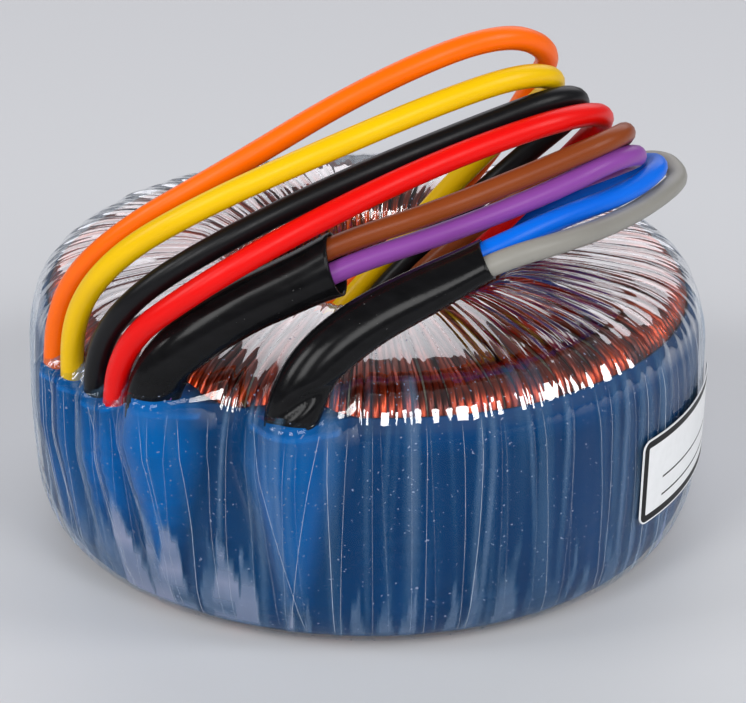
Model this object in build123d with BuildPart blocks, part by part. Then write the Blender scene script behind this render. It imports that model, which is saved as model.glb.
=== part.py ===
"""Toroidal mains transformer with eight folded flying leads, in millimetres.

The ring lies flat on its underside: origin at the centre of the base, +Z along the ring's
axis. From the middle outwards it holds a wound steel core, the core's tape wrap, two
primary windings, the tape between primary and secondary, the visible secondary winding, a
blue tape band round the side and the clear film that is wound through the hole over all of
it. The leads come up from under the band at the left front, arch over the ring, fold back
and drop into the centre hole.
"""

import os
from math import cos, pi, radians, sin, tan

from build123d import *

os.makedirs("parts", exist_ok=True)

# ---- core and windings --------------------------------------------------------------------
core_od, core_id, core_h = 68.0, 46.0, 20.5
core_edge = 0.4  # deburred strip edge
strip_turns = 11  # shown as shallow steps in the core's ends
strip_step = 0.12
wrap_t = 0.5
# Build of each winding at the side, in the throat and on the faces: turns crowd together
# in the throat, so a winding is thickest there.
primary_side, primary_throat, primary_face = 1.0, 1.35, 1.1
secondary_side, secondary_throat, secondary_face = 2.45, 3.3, 2.65
barrier_t = 0.3  # tape between primary and secondary
wire_d = 0.84  # the secondary's enamelled wire
wound_turns = 279
turn_levels = 3  # the turns crowd into this many levels in the throat
turns = wound_turns // turn_levels  # those of the outermost level, which show as ridges
turn_rise = 0.3  # ridge of a turn above the groove beside it where there is room for all
crowded_rise = 0.75  # what crowding adds, as a share of how deep it pushes a turn
wind_roll = 3.2  # corner radius of the hidden windings

# ---- skins --------------------------------------------------------------------------------
film_t = 0.4  # clear polyester film, several turns deep
band_t = 0.55  # blue tape band, several turns deep
band_low, band_down = 1.5, 5.0  # the band's edges: above the base, and down from the crown
seat_gap = 0.05  # between two layers wound on one another
film_pleats = 60
pleat_depth = 0.45  # deepest film pleat, above the valleys
under_film = film_t + seat_gap
under_band = under_film + band_t + seat_gap


# ---- the ring's outside: the film in the valleys between its pleats -----------------------
def inner_build(primary):
    """What lies between the core and the secondary, for a primary of a given build."""
    return wrap_t + 2 * primary + barrier_t + 5 * seat_gap


ring_r = core_od / 2 + inner_build(primary_side) + secondary_side + under_band
throat_r = core_id / 2 - inner_build(primary_throat) - secondary_throat - under_film
ring_h = core_h + 2 * (inner_build(primary_face) + secondary_face + under_film)
foot_in, foot_out = throat_r + 3.5, ring_r - 5.05  # flat annulus that the ring stands on
# How the film rolls from the side over the top: (in from the side, down from the crown).
shoulder = ((0.0, 13.2), (0.65, 7.2), (1.45, 4.8), (3.15, 2.7), (6.05, 1.2), (11.0, 0.3))
# How it rolls from the crown into the hole: (out from the throat, down from the crown).
lip = ((8.0, 0.0), (4.5, 0.3), (1.7, 1.9), (0.4, 5.0), (0.0, 9.7))
# How it rolls under: (in from the side, up from the base), and at the throat.
foot_roll = ((2.25, 1.3), (0.65, 4.2), (0.0, 10.0))
throat_roll = ((0.0, 8.0), (0.9, 3.4))
band_high = ring_h - band_down

# ---- leads --------------------------------------------------------------------------------
lead_d_primary = 2.55  # 20 AWG, 600 V insulation
lead_d_secondary = 2.35  # 22 AWG, 600 V insulation
tin_d, tin_len = 0.95, 5.0
sleeve_wide, sleeve_thick = 5.8, 4.3  # the sleeves are flattened over the two leads in them
sleeve_wall = 0.3
sleeve_sections = 12  # ovals that a sleeve is drawn through, after its first
bore_gap = 0.1  # round a lead or a sleeve, in the tape and the film
ridge_foot = 7.5  # height where the tape starts to lift over a lead
ridge_foot_r = 1.3
ridge_floor = 0.8  # what the skins have under the end of a lead or a sleeve
ridge_top = 26.4  # the band's edge round the leads, lower than its edge elsewhere
sleeve_ridge_top = 28.9  # and round the sleeves, where it is higher
sleeve_seat = 5  # of those, the ones that lie in the sleeve's bore or close past it
arc_share = 0.45  # of the shorter run, taken up by each arc of a lead

# Each lead's route: the corner points of its path. It starts on the floor of its bore in
# the band and ends, cut and tinned, in the centre hole.
leads = {
    "orange": [
        (-34.8, -21.6, 20.6), (-35, -21.5, 24.2), (-33.5, -24.1, 35.7), (-26.6, -28.6, 44.6),
        (-15, -29.5, 51.8), (-0.1, -25.7, 60.2), (13.7, -19.9, 64.5), (20.2, -12.8, 60.5),
        (18.2, -6.6, 54.1), (13.6, -2.2, 44.3), (5.7, 0.1, 34.2), (-4.6, 0.6, 25.4),
        (-8.7, -0.1, 16), (-9.8, -0.6, 9),
    ],
    "yellow": [
        (-32.5, -24.8, 20.2), (-32.5, -24.7, 23.8), (-31.6, -27.5, 35), (-26.2, -32.1, 43.6),
        (-16.8, -34, 50), (-4.5, -32.2, 55.3), (7.7, -26.4, 58.9), (16.4, -21.2, 60.3),
        (20.8, -15.4, 58), (18.2, -8.8, 52.7), (10.3, -4.4, 42.7), (0.8, -3.1, 30.3),
        (-8.2, -3.8, 19.6), (-10.2, -4.8, 10.5),
    ],
    "black": [
        (-29.4, -28.55, 19.8), (-29.5, -28.5, 22.6), (-28.8, -30.7, 32.6), (-23.9, -34.5, 40.4),
        (-14.8, -34.9, 46.5), (-2.6, -31.2, 51.7), (11.3, -24.8, 55.6), (21.3, -19, 57.6),
        (23.6, -13.1, 54.2), (17.9, -7.1, 46.7), (8.5, -5.6, 36.8), (-1.3, -5.4, 25.6),
        (-4.6, -6.3, 15.6), (-5.6, -7.5, 8),
    ],
    "red": [
        (-27.1, -31.15, 20.4), (-27.3, -31.2, 24), (-25.6, -34.6, 34.8), (-17.6, -37.9, 42.2),
        (-6.5, -36, 48.5), (7.3, -29.8, 53.5), (20.2, -23.1, 56.1), (26.4, -14.8, 54.1),
        (24.4, -7.7, 48.4), (17, -6.2, 39.6), (9.1, -5, 30.1), (5.1, -4.4, 21.6),
        (4.3, -4.2, 14.7), (4.2, -4.4, 9.5),
    ],
    "brown": [
        (-24, -34.4, 20.4), (-23.9, -34.9, 27), (-23.1, -34.9, 31.1), (-20.5, -35, 35.4),
        (-15.2, -34.6, 39.2), (-9.4, -34, 42.3), (-3.4, -33.3, 45.6),
        (6.9, -32.2, 48.8), (17.3, -27.1, 51.4), (25.8, -22.5, 53.6), (28.3, -16.8, 52.8),
        (26.5, -12.8, 49), (19.3, -10.4, 44.6), (10.5, -9, 37.1), (3.2, -8, 29.2),
        (1.2, -8.7, 20.5), (0.2, -9, 14.5), (0, -9.2, 10),
    ],
    "purple": [
        (-21.6, -35.2, 20.5), (-21.5, -35.3, 26.8), (-20.9, -35.3, 30.1), (-18.7, -35.6, 33.8),
        (-14, -35.4, 37.2), (-8.2, -35, 40.3), (-2.3, -33.9, 43.5),
        (8, -31.4, 46.2), (19.1, -27.2, 49.3), (26.7, -21.6, 51.3), (30.3, -15, 49.4),
        (26.2, -7.2, 44.4), (17.5, -3.3, 39.5), (8.4, -1.4, 33.6), (2.4, -0.8, 26.6),
        (1, -0.5, 19), (0.8, -0.3, 13.5), (0.9, -0.1, 9.5),
    ],
    "blue": [
        (-9.1, -40.5, 20.4), (-9, -40.9, 26.6), (-8.4, -40.3, 31.3), (-6.1, -39.1, 35.8),
        (-1, -37.2, 39.7), (5.8, -35.5, 42.8), (12.4, -34.2, 45.4),
        (20.2, -27.9, 46.8), (28.1, -19.6, 46.5), (32.8, -13.3, 47.5), (31.2, -7.3, 45.9),
        (23.9, -4.2, 40.7), (15.4, -1.8, 34.6), (9.6, -0.6, 27.5), (8.3, -0.4, 19.5),
        (7.9, -0.2, 13.8), (7.7, -0.4, 9.5),
    ],
    "grey": [
        (-6.6, -41, 20.4), (-6.6, -41.3, 26.9), (-6.2, -41.1, 30.7), (-4.3, -40.3, 34.6),
        (0.2, -38.8, 38.3), (6.6, -37.5, 41.6), (12.9, -36.7, 45.3),
        (21.7, -30.6, 45.5), (28.4, -20.7, 44.3), (33.5, -13, 44.5), (35.7, -7, 44.1),
        (34.2, -1.6, 44.4), (28.8, 1, 42.3), (21.2, 1.6, 37.6), (13.8, 2, 31.4),
        (11.3, 3.3, 22), (10.8, 3.5, 15.5), (10.5, 3.6, 10),
    ],
}
lead_d = {name: lead_d_primary for name in ("orange", "yellow", "black", "red")}
lead_d |= {name: lead_d_secondary for name in ("brown", "purple", "blue", "grey")}
# Each sleeve's route runs midway between the two leads it holds.
sleeves = {
    "brown_purple": [
        (-22.75, -35, 24), (-22.6, -35.1, 27.4), (-22, -35.1, 30.6), (-19.6, -35.3, 34.6),
        (-14.6, -35, 38.2), (-8.8, -34.5, 41.3), (-3.4, -33.8, 44.2),
    ],
    "blue_grey": [
        (-7.8, -40.95, 24), (-7.8, -41, 27.4), (-7.3, -40.7, 31), (-5.2, -39.7, 35.2),
        (-0.4, -38, 39), (6.2, -36.5, 42.2), (12.25, -35.25, 45.05),
    ],
}

# ---- label --------------------------------------------------------------------------------
label_w, label_h, label_t = 25.0, 10.5, 0.12
label_corner = 1.2
label_azimuth, label_z = -24.0, 14.8


def route(points):
    """The smooth path of a lead: straight runs joined by arcs as large as the runs allow."""
    at = [Vector(*p) for p in points]
    runs = [b - a for a, b in zip(at, at[1:])]
    bends = []
    for one, two in zip(runs, runs[1:]):
        half_turn = radians(one.get_angle(two)) / 2
        bends.append(arc_share * min(one.length, two.length) / tan(half_turn))
    return FilletPolyline(*at, radius=bends), bends


def section_plane(angle):
    """The half plane through the ring's axis at an angle, with x outwards and y up."""
    a = radians(angle)
    return Plane(origin=(0, 0, 0), x_dir=(cos(a), sin(a), 0), z_dir=(sin(a), -cos(a), 0))


# The film's valley line as a closed ring of (radius, height), starting under the throat.
outline = [(foot_in, 0.0), (foot_out, 0.0)]
outline += [(ring_r - i, up) for i, up in foot_roll]
outline += [(ring_r - i, ring_h - down) for i, down in shoulder]
outline += [(throat_r + o, ring_h - down) for o, down in lip]
outline += [(throat_r + o, up) for o, up in throat_roll]
side_points = range(2, 8)  # outline points that the band lies under


def outward(i):
    """Unit normal of the outline at point i, away from the film's section."""
    (r0, z0), (r1, z1) = outline[i - 1], outline[(i + 1) % len(outline)]
    length = ((r1 - r0) ** 2 + (z1 - z0) ** 2) ** 0.5
    return (z1 - z0) / length, -(r1 - r0) / length


def shifted(by):
    """The outline moved along its normals by a distance that may differ at each point."""
    moved = []
    for i, (r, z) in enumerate(outline):
        n = outward(i)
        moved.append((r + by(i) * n[0], z + by(i) * n[1]))
    return moved


def pleated_half(sections, first, last):
    """Half a ring: a ruled loft through the sections first..last, (angle, outline) each."""
    with BuildPart() as half:
        for k in range(first, last + 1):
            angle, points = sections(k)
            with BuildSketch(section_plane(angle)):
                with BuildLine():
                    Polyline(*points, close=True)
                make_face()
        loft(ruled=True)
    return half.part


def profile_ring(points):
    """A ring of revolution whose section is the polygon given."""
    with BuildPart() as ring:
        with BuildSketch(Plane.XZ):
            with BuildLine():
                Polyline(*points, close=True)
            make_face()
        revolve(axis=Axis.Z)
    return ring.part


def core_ring(side, throat, face, roll):
    """A ring of revolution that stands out from the core by the builds given."""
    inner, outer = core_id / 2 - throat, core_od / 2 + side
    with BuildPart() as ring:
        with BuildSketch(Plane.XZ) as section:
            with Locations(((inner + outer) / 2, core_mid)):
                Rectangle(outer - inner, core_h + 2 * face)
            if roll:
                fillet(section.vertices(), roll)
        revolve(axis=Axis.Z)
    return ring.part


def around(points):
    """Unit vector along the ring's side where a route starts."""
    x, y, _ = points[0]
    return Vector(-y, x, 0).normalized()


def tube(points, diameter):
    """A round rod along the route of the points."""
    path, bends = route(points)
    with BuildPart() as rod:
        with BuildLine():
            add(path)
        with BuildSketch(Plane(origin=path @ 0, z_dir=path % 0)):
            Circle(diameter / 2)
        sweep()
    return rod.part, path, bends


def flat_tube(path, pair, wide, thick, last=sleeve_sections):
    """An oval rod along a path up to a section of it, its wide way across a pair of leads."""
    with BuildPart() as rod:
        for k in range(last + 1):
            at = k / sleeve_sections
            spot = path @ at
            one, two = (lead.distance_to_with_closest_points(Vertex(spot))[1] for lead in pair)
            with BuildSketch(Plane(origin=spot, x_dir=one - two, z_dir=path % at)):
                SlotOverall(wide, thick)
        loft()
    return rod.part


def ridge(points, half_wide, half_thick, foot_r, low, high):
    """The lift of a wound skin over a lead: it widens up to the lead's start, then is even."""
    (x0, y0, z0), (x1, y1, _) = points[0], points[1]
    out = (x0 * x0 + y0 * y0) ** 0.5
    lie = (ring_r - film_t - band_t) / out  # its foot lies in the band
    sections = [
        ((x0 * lie, y0 * lie, low), foot_r, foot_r),
        ((x0, y0, z0 - ridge_floor), half_wide, half_thick),
        (((x0 + x1) / 2, (y0 + y1) / 2, high), half_wide, half_thick),
    ]
    with BuildPart() as lift:
        for spot, a, b in sections:
            with BuildSketch(Plane(origin=spot, x_dir=around(points), z_dir=(0, 0, 1))):
                Ellipse(a + 0.01, b)
        loft(ruled=True)
    return lift.part


# ---- layers of the ring, from the middle out ----------------------------------------------
core_mid = ring_h / 2  # the core lies midway between the base and the film's crown
with BuildPart() as core:
    with BuildSketch(Plane.XZ) as strip:
        with Locations(((core_od + core_id) / 4, core_mid)):
            Rectangle((core_od - core_id) / 2, core_h)
        chamfer(strip.vertices(), core_edge)
    revolve(axis=Axis.Z)
    # The wound strip's turns stand a little proud of one another at both ends.
    pitch = (core_od - core_id) / 2 / strip_turns
    for end in (-1, 1):
        with BuildSketch(Plane.XY.offset(core_mid + end * core_h / 2)):
            for turn in range(1, strip_turns - 1, 2):
                Circle(core_id / 2 + (turn + 1) * pitch)
                Circle(core_id / 2 + turn * pitch, mode=Mode.SUBTRACT)
        extrude(amount=-end * strip_step, mode=Mode.SUBTRACT)

# Each layer: its builds at the side, in the throat and on the faces, and its corner radius.
builds = {
    "core_wrap": (wrap_t, wrap_t, wrap_t, core_edge + wrap_t),
    "primary_winding_1": (primary_side, primary_throat, primary_face, wind_roll * 0.5),
    "primary_winding_2": (primary_side, primary_throat, primary_face, wind_roll * 0.8),
    "primary_insulation": (barrier_t, barrier_t, barrier_t, wind_roll),
}
layers = {}
reach = [seat_gap] * 3  # how far the layers so far, and the gap over them, stand out
roll = 0.0
for name, (side, throat, face, corner) in builds.items():
    with BuildPart() as layer:
        grown = [reach[0] + side, reach[1] + throat, reach[2] + face]
        add(core_ring(*grown, corner))
        add(core_ring(*reach, roll), mode=Mode.SUBTRACT)
    layers[name] = layer
    reach, roll = [g + seat_gap for g in grown], corner


# The secondary lies straight under the band at the side and under the film elsewhere.
def crowding(radius):
    """How far a turn is pushed under its neighbour at a radius, for want of room."""
    pitch = 2 * pi * radius / wound_turns
    return max(wire_d**2 - pitch**2, 0.0) ** 0.5


def winding_section(k):
    """Section k of the secondary: odd ones on the crest of a turn, even ones in a groove."""

    def depth(i):
        groove = 0.0 if k % 2 else turn_rise + crowded_rise * crowding(outline[i][0])
        return -(under_band if i in side_points else under_film) - groove

    return 180.0 * k / turns, shifted(depth)


with BuildPart() as secondary:
    add(pleated_half(winding_section, 0, turns))
    add(pleated_half(winding_section, turns, 2 * turns))
    add(core_ring(*reach, roll), mode=Mode.SUBTRACT)

# ---- leads and their sleeves --------------------------------------------------------------
lead_parts, lead_paths, tin_parts = {}, {}, {}
for name, points in leads.items():
    rod, path, bends = tube(points, lead_d[name])
    lead_parts[name], lead_paths[name] = rod, path
    section = pi * lead_d[name] ** 2 / 4
    print(name, "length", round(path.length, 1), "radii", [round(b, 1) for b in bends])
    print("  volume over section times length", round(rod.volume / section / path.length, 4))
    with BuildPart() as tin:
        with BuildSketch(Plane(origin=path @ 1, z_dir=path % 1)):
            Circle(tin_d / 2)
        extrude(amount=tin_len)
    tin_parts[name] = tin

sleeve_parts, sleeve_bores = {}, []
for name, points in sleeves.items():
    path, bends = route(points)
    pair = [lead_paths[lead] for lead in name.split("_")]
    with BuildPart() as sleeve:
        add(flat_tube(path, pair, sleeve_wide, sleeve_thick))
        bore = (sleeve_wide - 2 * sleeve_wall, sleeve_thick - 2 * sleeve_wall)
        add(flat_tube(path, pair, *bore), mode=Mode.SUBTRACT)
    sleeve_parts[name] = sleeve
    seat = (sleeve_wide + 2 * bore_gap, sleeve_thick + 2 * bore_gap)
    sleeve_bores.append(flat_tube(path, pair, *seat, last=sleeve_seat))
    print("sleeve", name, "length", round(path.length, 1), "radii", [round(b, 1) for b in bends])

# What comes out from under the band at each exit: its route, its width along the ring's
# side, its thickness, and how high the band's edge stands there.
bare = ("orange", "yellow", "black", "red")
exits = {n: (leads[n], lead_d[n], lead_d[n], ridge_top) for n in bare}
exits |= {n: (sleeves[n], sleeve_wide, sleeve_thick, sleeve_ridge_top) for n in sleeves}
# The bores that the leads and sleeves lie in, each starting on its own flat floor.
bores = [tube(leads[n][:4], lead_d[n] + 2 * bore_gap)[0] for n in leads]
bores += sleeve_bores


def lifts(skin, over):
    """The ridges of a skin over all exits, the skin's thickness and what it adds above."""
    cover = bore_gap + skin
    return [
        ridge(
            points, wide / 2 + cover, thick / 2 + cover,
            ridge_foot_r + over, ridge_foot - over, top + over,
        )
        for points, wide, thick, top in exits.values()
    ]


# ---- blue band ----------------------------------------------------------------------------
def level(points, height):
    """The radius of a line of (radius, height) points where it passes a height."""
    for (r0, z0), (r1, z1) in zip(points, points[1:]):
        if min(z0, z1) <= height <= max(z0, z1):
            return r0 + (r1 - r0) * (height - z0) / (z1 - z0)
    raise ValueError(height)


def band_face(depth):
    """The band's inner or outer line: the outline at a depth, between the band's edges."""
    line = shifted(lambda i: -depth)[1:9]
    inside = [p for p in line if band_low < p[1] < band_high]
    return [(level(line, band_low), band_low), *inside, (level(line, band_high), band_high)]


with BuildPart() as band:
    add(profile_ring(band_face(under_film) + band_face(under_film + band_t)[::-1]))
    add(lifts(band_t, 0.0))
    add(profile_ring(shifted(lambda i: -under_band if i in side_points else -under_film)),
        mode=Mode.SUBTRACT)
    add(bores, mode=Mode.SUBTRACT)

# ---- film over everything -----------------------------------------------------------------


def film_section(k):
    """Section k of the film: odd ones on the crest of a pleat, even ones in a valley."""
    crest = k % 2 * pleat_depth * (0.75 + 0.25 * sin(2.4 * k))
    stagger = 0.0 if k % film_pleats == 0 else 0.3 * sin(1.7 * k)
    return 180.0 * (k + stagger) / film_pleats, shifted(lambda i: crest)


skin = film_t + seat_gap
with BuildPart() as film:
    add(pleated_half(film_section, 0, film_pleats))
    add(pleated_half(film_section, film_pleats, 2 * film_pleats))
    add(lifts(band_t + skin, skin))
    # The ring's own weight presses the pleats flat where it stands.
    with Locations((0, 0, -pleat_depth)):
        Cylinder(ring_r + 5, 2 * pleat_depth, mode=Mode.SUBTRACT)
    add(profile_ring(shifted(lambda i: -film_t)), mode=Mode.SUBTRACT)
    add(lifts(band_t + seat_gap, seat_gap), mode=Mode.SUBTRACT)
    add(bores, mode=Mode.SUBTRACT)

# ---- label --------------------------------------------------------------------------------
label_r = ring_r + pleat_depth + seat_gap
with BuildPart() as label:
    with BuildSketch(Plane.XY.offset(label_z - label_h / 2)):
        Circle(label_r + label_t)
        Circle(label_r, mode=Mode.SUBTRACT)
    extrude(amount=label_h)
    a = radians(label_azimuth)
    facing = Plane(origin=(0, 0, label_z), x_dir=(-sin(a), cos(a), 0), z_dir=(cos(a), sin(a), 0))
    with BuildSketch(facing):
        RectangleRounded(label_w, label_h, label_corner)
    extrude(amount=label_r + 2 * label_t, mode=Mode.INTERSECT)

nodes = {
    "core": core,
    "core_wrap": layers["core_wrap"],
    "primary_winding_1": layers["primary_winding_1"],
    "primary_winding_2": layers["primary_winding_2"],
    "primary_insulation": layers["primary_insulation"],
    "secondary_winding": secondary,
    "blue_band": band,
    "outer_wrap": film,
    "label": label,
}
for name, sleeve in sleeve_parts.items():
    nodes["sleeve_" + name] = sleeve
for name, tin in tin_parts.items():
    nodes["tinned_end_" + name] = tin
for name, piece in nodes.items():
    piece.part.label = name
    export_step(piece.part, f"parts/{name}.step")
for name, rod in lead_parts.items():
    rod.label = "lead_" + name
    export_step(rod, f"parts/lead_{name}.step")
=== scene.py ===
"""Toroidal mains transformer with its flying leads folded into the centre hole.

The ring stands flat on its underside, with the origin at the centre of the base and +Z
along its axis. From inside out this dresses the enamelled turns, the blue tape band, the
clear film wound over all of it, the label, the two heat-shrink sleeves and the eight leads.
Section and route sizes are written in millimetres and made metres by MM.
"""

from collections import namedtuple
from math import atan2, cos, pi, radians, sin, sqrt

import bpy
import numpy as np
from mathutils import Matrix, Vector


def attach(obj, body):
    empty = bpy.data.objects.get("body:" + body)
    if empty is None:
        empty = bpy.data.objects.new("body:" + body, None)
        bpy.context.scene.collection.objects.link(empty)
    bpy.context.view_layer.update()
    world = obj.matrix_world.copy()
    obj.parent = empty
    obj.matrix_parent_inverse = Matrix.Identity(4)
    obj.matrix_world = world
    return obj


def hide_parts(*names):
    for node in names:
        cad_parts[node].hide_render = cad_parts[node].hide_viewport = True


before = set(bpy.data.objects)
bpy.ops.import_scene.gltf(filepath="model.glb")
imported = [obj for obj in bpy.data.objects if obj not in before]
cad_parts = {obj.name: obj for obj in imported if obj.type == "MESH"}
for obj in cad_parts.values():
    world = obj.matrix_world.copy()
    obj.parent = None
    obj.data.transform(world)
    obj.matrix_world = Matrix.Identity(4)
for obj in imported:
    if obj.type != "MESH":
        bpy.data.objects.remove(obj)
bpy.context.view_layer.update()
MM = 0.001
TURN = 2 * pi

# ---- the ring's sizes ----
RING_R = 40.55  # side of the film, in its valleys
SIDE_R = 34.0  # what lies further out belongs to the side
# The film's valley line round one section, as (radius, height), from under the throat.
SECTION = [
    (19.0, 0.0), (22.0, 0.0), (32.0, 0.0), (35.5, 0.0), (38.3, 1.3), (39.9, 4.2),
    (40.55, 10.0), (40.55, 20.0), (39.9, 26.0), (39.1, 28.4), (37.4, 30.5), (34.5, 32.0),
    (29.55, 32.9), (23.5, 33.2), (20.0, 32.9), (17.2, 31.3), (15.9, 28.2), (15.5, 23.5),
    (15.5, 8.0), (16.4, 3.4),
]
FILM_T = 0.4
SKIN_GAP = 0.05
BAND_T = 0.55
BAND_LOW, BAND_HIGH = 1.5, 28.2
BORE_GAP = 0.1  # round a lead or a sleeve, under the skins
RIDGE_FOOT, RIDGE_FOOT_R = 7.5, 1.3  # where the skins start to lift over a lead
RIDGE_RUN = 3.0  # how far below that they start to bulge
RIDGE_FLOOR = 0.8  # what the skins have under the end of a lead or a sleeve
RIDGE_TOP, SLEEVE_RIDGE_TOP = 26.4, 28.9  # where leads and sleeves come out
EDGE_RISE = 0.6  # the band's edge rides up this far on the front of each
TENT_REACH = 1.75  # the skins come back down this far to each side, in half widths
WIRE_D = 0.84
TURNS = 279
LEVELS = 3  # the turns crowd into this many levels in the throat
TURNS_DEPTH = FILM_T + SKIN_GAP + WIRE_D / 2 + 0.08  # their middles, under the film's valleys
BURIED_TURNS, BURIED_D, BURIED_BELOW = 174, 1.75, 1.1

# ---- the leads' routes, as their corner points ----
LEADS = {
    "orange": [
        (-34.8, -21.6, 20.6), (-35, -21.5, 24.2), (-33.5, -24.1, 35.7), (-26.6, -28.6, 44.6),
        (-15, -29.5, 51.8), (-0.1, -25.7, 60.2), (13.7, -19.9, 64.5), (20.2, -12.8, 60.5),
        (18.2, -6.6, 54.1), (13.6, -2.2, 44.3), (5.7, 0.1, 34.2), (-4.6, 0.6, 25.4),
        (-8.7, -0.1, 16), (-9.8, -0.6, 9),
    ],
    "yellow": [
        (-32.5, -24.8, 20.2), (-32.5, -24.7, 23.8), (-31.6, -27.5, 35), (-26.2, -32.1, 43.6),
        (-16.8, -34, 50), (-4.5, -32.2, 55.3), (7.7, -26.4, 58.9), (16.4, -21.2, 60.3),
        (20.8, -15.4, 58), (18.2, -8.8, 52.7), (10.3, -4.4, 42.7), (0.8, -3.1, 30.3),
        (-8.2, -3.8, 19.6), (-10.2, -4.8, 10.5),
    ],
    "black": [
        (-29.4, -28.55, 19.8), (-29.5, -28.5, 22.6), (-28.8, -30.7, 32.6), (-23.9, -34.5, 40.4),
        (-14.8, -34.9, 46.5), (-2.6, -31.2, 51.7), (11.3, -24.8, 55.6), (21.3, -19, 57.6),
        (23.6, -13.1, 54.2), (17.9, -7.1, 46.7), (8.5, -5.6, 36.8), (-1.3, -5.4, 25.6),
        (-4.6, -6.3, 15.6), (-5.6, -7.5, 8),
    ],
    "red": [
        (-27.1, -31.15, 20.4), (-27.3, -31.2, 24), (-25.6, -34.6, 34.8), (-17.6, -37.9, 42.2),
        (-6.5, -36, 48.5), (7.3, -29.8, 53.5), (20.2, -23.1, 56.1), (26.4, -14.8, 54.1),
        (24.4, -7.7, 48.4), (17, -6.2, 39.6), (9.1, -5, 30.1), (5.1, -4.4, 21.6),
        (4.3, -4.2, 14.7), (4.2, -4.4, 9.5),
    ],
    "brown": [
        (-24, -34.4, 20.4), (-23.9, -34.9, 27), (-23.1, -34.9, 31.1), (-20.5, -35, 35.4),
        (-15.2, -34.6, 39.2), (-9.4, -34, 42.3), (-3.4, -33.3, 45.6),
        (6.9, -32.2, 48.8), (17.3, -27.1, 51.4), (25.8, -22.5, 53.6), (28.3, -16.8, 52.8),
        (26.5, -12.8, 49), (19.3, -10.4, 44.6), (10.5, -9, 37.1), (3.2, -8, 29.2),
        (1.2, -8.7, 20.5), (0.2, -9, 14.5), (0, -9.2, 10),
    ],
    "purple": [
        (-21.6, -35.2, 20.5), (-21.5, -35.3, 26.8), (-20.9, -35.3, 30.1), (-18.7, -35.6, 33.8),
        (-14, -35.4, 37.2), (-8.2, -35, 40.3), (-2.3, -33.9, 43.5),
        (8, -31.4, 46.2), (19.1, -27.2, 49.3), (26.7, -21.6, 51.3), (30.3, -15, 49.4),
        (26.2, -7.2, 44.4), (17.5, -3.3, 39.5), (8.4, -1.4, 33.6), (2.4, -0.8, 26.6),
        (1, -0.5, 19), (0.8, -0.3, 13.5), (0.9, -0.1, 9.5),
    ],
    "blue": [
        (-9.1, -40.5, 20.4), (-9, -40.9, 26.6), (-8.4, -40.3, 31.3), (-6.1, -39.1, 35.8),
        (-1, -37.2, 39.7), (5.8, -35.5, 42.8), (12.4, -34.2, 45.4),
        (20.2, -27.9, 46.8), (28.1, -19.6, 46.5), (32.8, -13.3, 47.5), (31.2, -7.3, 45.9),
        (23.9, -4.2, 40.7), (15.4, -1.8, 34.6), (9.6, -0.6, 27.5), (8.3, -0.4, 19.5),
        (7.9, -0.2, 13.8), (7.7, -0.4, 9.5),
    ],
    "grey": [
        (-6.6, -41, 20.4), (-6.6, -41.3, 26.9), (-6.2, -41.1, 30.7), (-4.3, -40.3, 34.6),
        (0.2, -38.8, 38.3), (6.6, -37.5, 41.6), (12.9, -36.7, 45.3),
        (21.7, -30.6, 45.5), (28.4, -20.7, 44.3), (33.5, -13, 44.5), (35.7, -7, 44.1),
        (34.2, -1.6, 44.4), (28.8, 1, 42.3), (21.2, 1.6, 37.6), (13.8, 2, 31.4),
        (11.3, 3.3, 22), (10.8, 3.5, 15.5), (10.5, 3.6, 10),
    ],
}
BARE_LEADS = ("orange", "yellow", "black", "red")  # the others come out in the sleeves
LEAD_D = {colour: 2.55 if colour in BARE_LEADS else 2.35 for colour in LEADS}
SLEEVES = {
    "brown_purple": [
        (-22.75, -35, 24), (-22.6, -35.1, 27.4), (-22, -35.1, 30.6), (-19.6, -35.3, 34.6),
        (-14.6, -35, 38.2), (-8.8, -34.5, 41.3), (-3.4, -33.8, 44.2),
    ],
    "blue_grey": [
        (-7.8, -40.95, 24), (-7.8, -41, 27.4), (-7.3, -40.7, 31), (-5.2, -39.7, 35.2),
        (-0.4, -38, 39), (6.2, -36.5, 42.2), (12.25, -35.25, 45.05),
    ],
}
SLEEVE_WIDE, SLEEVE_THICK, SLEEVE_WALL = 5.8, 4.3, 0.3
SLEEVE_PLACES, SLEEVE_SIDES = 90, 56


Exit = namedtuple("Exit", "x y start wide thick top top_x top_y")


def exit_under_band(points, wide, thick, top):
    """What comes out from under the band: its start, its width along the side, its
    thickness, the height of the band's edge over it, and where it is at that height.
    """
    one, two, three = (np.array(p, float) for p in points[:3])
    t = np.linspace(0, 1, 60)[:, None]
    bend = (1 - t) ** 2 * one + 2 * t * (1 - t) * two + t * t * (two + three) / 2
    there = [float(np.interp(top, bend[:, 2], bend[:, k])) for k in (0, 1)]
    return Exit(*points[0], wide, thick, top, *there)


EXITS = [exit_under_band(LEADS[n], LEAD_D[n], LEAD_D[n], RIDGE_TOP) for n in BARE_LEADS]
EXITS += [
    exit_under_band(points, SLEEVE_WIDE, SLEEVE_THICK, SLEEVE_RIDGE_TOP)
    for points in SLEEVES.values()
]


# ---- node helpers ----
def put(tree, kind, inputs=None, **settings):
    """A new node, its settings made and its inputs given values or linked to outputs."""
    made = tree.nodes.new(kind)
    for name, value in settings.items():
        setattr(made, name, value)
    for key, value in (inputs or {}).items():
        if isinstance(value, bpy.types.NodeSocket):
            tree.links.new(value, made.inputs[key])
        else:
            made.inputs[key].default_value = value
    return made


def sums(tree, operation, *values, clamp=False):
    """A Math node's output."""
    return put(
        tree, "ShaderNodeMath", dict(enumerate(values)), operation=operation, use_clamp=clamp
    ).outputs[0]


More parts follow.
